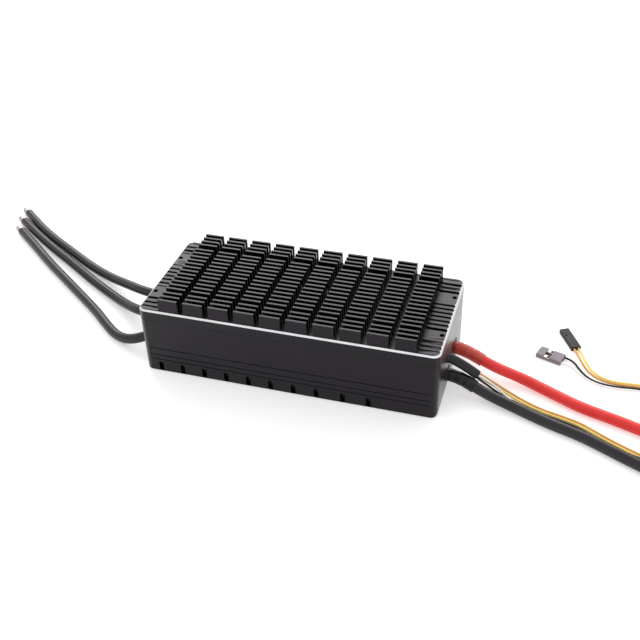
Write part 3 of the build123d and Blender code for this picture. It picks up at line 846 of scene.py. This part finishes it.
def raiseFins(bm, look, deck, fins, ridges):
    marks = bm.faces.layers.int["isFin"]
    for face in fins:
        face[marks] = 1
    raised = drawUp(bm, fins + ridges, look["ridge"])
    # a ridge that reaches the rim runs out at the slope of the rim
    for vertex in bm.verts:
        if vertex.co.z > deck + look["raised"] and abs(abs(vertex.co.x) - look["ridgeEnd"]) < look["near"]:
            vertex.co.x -= math.copysign(look["ridge"], vertex.co.x)
    bm.normal_update()
    for face in bm.faces:
        if look["slope"][0] < face.normal.z < look["slope"][1]:
            face.material_index = 1
    tops = [f for f in raised if f[marks] == 1 and f.normal.z > look["flat"]]
    drawUp(bm, tops, look["fin"] - look["ridge"])
    bmesh.ops.recalc_face_normals(bm, faces=bm.faces)
    bm.normal_update()


def breakFinEdges(bm, look, deck):
    edgeLayer = bm.faces.layers.float["edge"]
    hard = []
    for e in bm.edges:
        raisedEdge = max(v.co.z for v in e.verts) > deck + look["raised"]
        if raisedEdge and len(e.link_faces) == 2:
            if e.calc_face_angle_signed() > math.radians(look["hardFrom"]):
                hard.append(e)
    markEdges(bevelEdges(bm, hard, look["softEdge"], look["softSteps"]), edgeLayer)
    bm.normal_update()
    for face in bm.faces:
        if face.material_index == 1 and face.normal.z > look["nearlyFlat"]:
            face.material_index = 0
    bm.faces.layers.int.remove(bm.faces.layers.int["isFin"])


def coverBores(look, low, deck, holes):
    start = low.z - look["drillPast"]
    bores = [(x, y, start, deck + look["drillPast"], look["holeRadius"]) for x, y in holes]
    for sx in (-1, 1):
        for sy in (-1, 1):
            x, y = sx * look["screwX"], sy * look["screwY"]
            bores.append((x, y, start, low.z + look["screwDepth"], look["screwRadius"]))
    return bores


def sharpenRim(thing):
    # the cut rim keeps its own flat shading
    bm = bmesh.new()
    bm.from_mesh(thing.data)
    for edge in bm.edges:
        if len({face.material_index for face in edge.link_faces}) > 1:
            edge.smooth = False
    bm.to_mesh(thing.data)
    bm.free()


def makeFinnedCover(look):
    low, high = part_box("upper_heatsink")
    deck = low.z + look["plate"]
    rows = finRows()
    ridged = [y for y in rows if all(abs(y - side * look["holeY"]) >= look["holePad"] for side in (-1, 1))]
    holes = [(sx * look["holeX"], sy * look["holeY"]) for sx in (-1, 1) for sy in (-1, 1)]
    bm = bmesh.new()
    bm.faces.layers.float.new("edge")
    bm.faces.layers.int.new("isFin")
    makePlate(bm, look, low, high, deck)
    cutFinGrid(bm, look, deck, rows, ridged)
    cutRoundHoles(bm, look, deck, holes)
    fins, ridges = pickFins(bm, look, deck, rows, ridged)
    raiseFins(bm, look, deck, fins, ridges)
    breakFinEdges(bm, look, deck)
    print("cover:", len(fins), "fins,", len(ridges), "ridges,", len(bm.faces), "faces")
    mesh, materials = closeMesh(bm, "finnedCover"), ["blackAnodising", "cutAluminium"]
    cover = addPiece("finnedCover", mesh, materials, ["upper_heatsink"])
    drillHoles(cover, coverBores(look, low, deck, holes))
    evenShading(cover)
    sharpenRim(cover)


makeFinnedCover(finnedCover)


# the lower case and what closes it
softCopy("lowerCase", "lower_case", "case", "blackAnodising", "anodised_black")
softCopy("caseScrews", "case_screws", "screw", "blackScrew", "case_screw")


# each bush: its node, the radius of its bore and its wall
bushes = {
    "motorGrommetA": ("motor_grommet_a", 0.0028, 0.0014),
    "motorGrommetB": ("motor_grommet_b", 0.0028, 0.0014),
    "motorGrommetC": ("motor_grommet_c", 0.0028, 0.0014),
    "redLeadGrommet": ("red_lead_grommet", 0.0029, 0.0014),
    "blackLeadGrommet": ("black_lead_grommet", 0.0029, 0.0014),
    "signalGrommet": ("signal_grommet", 0.0025, 0.001),
}
# the lip from the wall outwards: how far along, and how far past the wall's radius
bushLip = {
    "length": 0.0003, "outside": ((0, 0.0004), (0.00012, 0.00036), (0.00024, 0.0002)),
    "mouth": 0.0002, "mouthDepth": 0.00015, "steps": 40, "merge": 0.0000001,
}


def makeBush(name, node, bore, wall):
    # a rubber bush, turned about its bore: through the wall, then a rounded lip outside
    low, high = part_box(node)
    y, z = (low.y + high.y) / 2, (low.z + high.z) / 2
    side = 1 if high.x > 0 else -1
    inner, lip = (low.x, high.x) if side > 0 else (high.x, low.x)
    outer = lip - side * bushLip["length"]
    profile = [(inner, bore), (inner, bore + wall), (outer, bore + wall)]
    profile += [(outer + side * along, bore + wall + out) for along, out in bushLip["outside"]]
    profile += [
        (lip, bore + wall), (lip, bore + bushLip["mouth"]), (lip - side * bushLip["mouthDepth"], bore),
    ]
    bm = bmesh.new()
    corners = [bm.verts.new((x, y, z + radius)) for x, radius in profile]
    edges = [bm.edges.new(pair) for pair in zip(corners, corners[1:] + corners[:1])]
    bmesh.ops.spin(
        bm, geom=corners + edges, cent=(0, y, z), axis=(1, 0, 0), angle=math.tau, steps=bushLip["steps"],
        use_merge=True,
    )
    bmesh.ops.remove_doubles(bm, verts=bm.verts, dist=bushLip["merge"])
    bmesh.ops.recalc_face_normals(bm, faces=bm.faces)
    piece = addPiece(name, closeMesh(bm, name), ["grommetRubber"], [node])
    evenShading(piece, 50)


for name, (node, bore, wall) in bushes.items():
    makeBush(name, node, bore, wall)
print("case closed")


# the sealed inside keeps the frame's solids
insideFinishes = {
    "lid_gasket": "gasketRubber", "power_board": "solderMask", "mosfets": "chipPackage",
    "thermal_pad": "gapFiller", "capacitors": "capacitorSleeve", "gate_drivers": "chipPackage",
    "current_shunts": "boardScrew",
    "positive_bus_bar": "copperBar", "negative_bus_bar": "copperBar", "phase_bar_a": "copperBar",
    "phase_bar_b": "copperBar", "phase_bar_c": "copperBar", "power_board_posts": "nylonPost",
    "power_board_screws": "boardScrew", "control_board": "solderMask", "control_board_posts": "nylonPost",
    "control_board_screws": "boardScrew", "microcontroller": "chipPackage", "regulator_choke": "ferrite",
    "board_header": "headerPlastic", "signal_header": "headerPlastic", "signal_harness": "blackWire",
}
for name, material in insideFinishes.items():
    nodes[name].data.materials.clear()
    nodes[name].data.materials.append(finish[material])
print(len(insideFinishes), "inner pieces finished")


# a pale floor and soft light
studio = {
    "floorSize": 6.0, "floorGap": 0.00005, "floorColor": (0.80, 0.80, 0.80), "floorGlow": 0.35,
    "floorRoughness": 0.8, "floorIor": 1.3, "sky": 1.05,
    "backBox": {"place": (-0.30, 1.05, 0.80), "size": (1.5, 0.9), "power": 14, "aim": (0, 0, 0.03)},
}


def makeFloor():
    bm = bmesh.new()
    bmesh.ops.create_grid(bm, x_segments=1, y_segments=1, size=studio["floorSize"] / 2)
    bmesh.ops.translate(bm, vec=(0, 0, cadLow.z - studio["floorGap"]), verts=bm.verts)
    floor = bpy.data.objects.new("floor", closeMesh(bm, "floor"))
    material = bpy.data.materials.new("paleFloor")
    material.use_nodes = True
    shader = material.node_tree.nodes["Principled BSDF"]
    shader.inputs["Base Color"].default_value = (*studio["floorColor"], 1)
    shader.inputs["Roughness"].default_value = studio["floorRoughness"]
    shader.inputs["Emission Color"].default_value = (1, 1, 1, 1)
    shader.inputs["Emission Strength"].default_value = studio["floorGlow"]
    shader.inputs["IOR"].default_value = studio["floorIor"]
    floor.data.materials.append(material)
    scene.collection.objects.link(floor)


def hangLights():
    box = studio["backBox"]
    light = bpy.data.lights.new("backBox", "AREA")
    light.shape = "RECTANGLE"
    light.size, light.size_y = box["size"]
    light.energy = box["power"]
    thing = bpy.data.objects.new("backBox", light)
    aim = (Vector(box["aim"]) - Vector(box["place"])).to_track_quat("-Z", "Y")
    thing.matrix_world = Matrix.Translation(box["place"]) @ aim.to_matrix().to_4x4()
    scene.collection.objects.link(thing)
    world = bpy.data.worlds.new("studio")
    world.use_nodes = True
    world.node_tree.nodes["Background"].inputs["Color"].default_value = (1, 1, 1, 1)
    world.node_tree.nodes["Background"].inputs["Strength"].default_value = studio["sky"]
    scene.world = world
    scene.view_settings.view_transform = "Standard"


makeFloor()
hangLights()
print("stage set")
